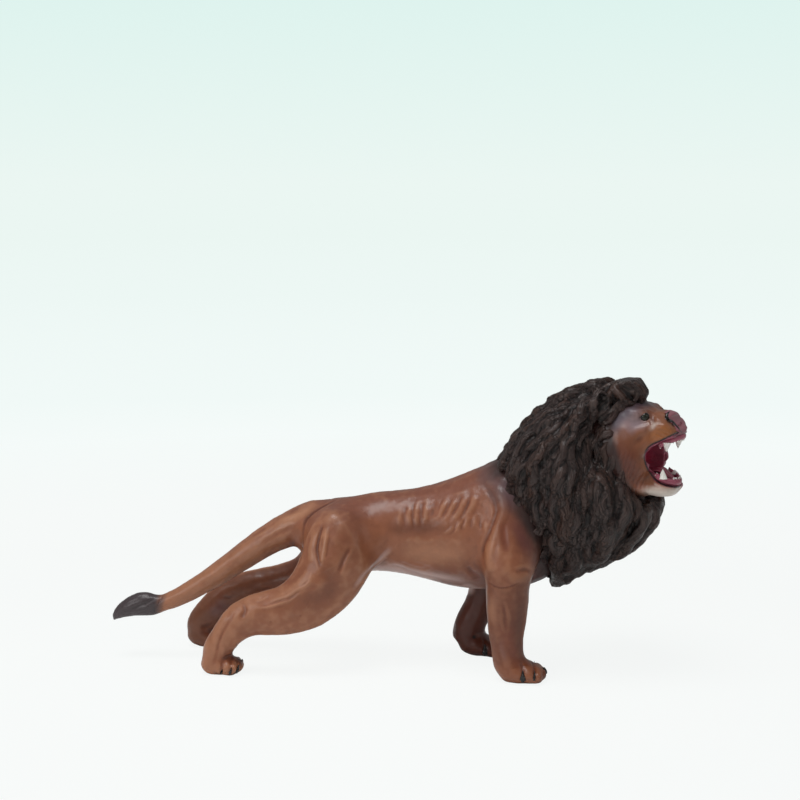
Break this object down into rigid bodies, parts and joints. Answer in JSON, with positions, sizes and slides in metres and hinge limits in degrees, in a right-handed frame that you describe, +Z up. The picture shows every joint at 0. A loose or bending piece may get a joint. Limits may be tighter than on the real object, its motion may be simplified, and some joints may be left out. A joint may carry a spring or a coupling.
{
  "type": "toy wild animal figure",
  "caption": "Moulded soft vinyl lion that stands with braced forelegs and stretched hind legs, head turned and mouth open in a roar, with a full dark mane and a tufted tail.",
  "frame": {"origin": "on the ground under the middle of the whole figure's box", "axes": "+X along the body toward the lion's head, +Y toward the lion's left side, +Z up from the soles"},
  "size_m": [0.2586, 0.075, 0.1318],
  "materials": {
    "fur_vinyl": "satin soft vinyl, orange-brown with darker airbrushed hollows",
    "mane_vinyl": "satin soft vinyl, near-black brown with a grey-brown dry brush on the locks",
    "face_vinyl": "satin soft vinyl, orange-brown muzzle and pale chin",
    "mouth_paint": "semi-gloss pink and maroon paint",
    "tooth_paint": "semi-gloss white paint",
    "nose_paint": "satin mauve-pink paint",
    "black_paint": "gloss black paint, with a dark olive tint on the eyes"
  },
  "bodies": {
    "root": {"torso": "fur_vinyl", "right_foreleg": "fur_vinyl", "left_foreleg": "fur_vinyl", "right_hind_leg": "fur_vinyl", "left_hind_leg": "fur_vinyl", "tail": "fur_vinyl", "tail_tuft": "mane_vinyl", "mane": "mane_vinyl", "head": "face_vinyl", "nose": "nose_paint", "mouth_lining": "mouth_paint", "tongue": "mouth_paint", "upper_teeth": "tooth_paint", "lower_teeth": "tooth_paint", "right_eye": "black_paint", "left_eye": "black_paint"}
  },
  "joints": []
}
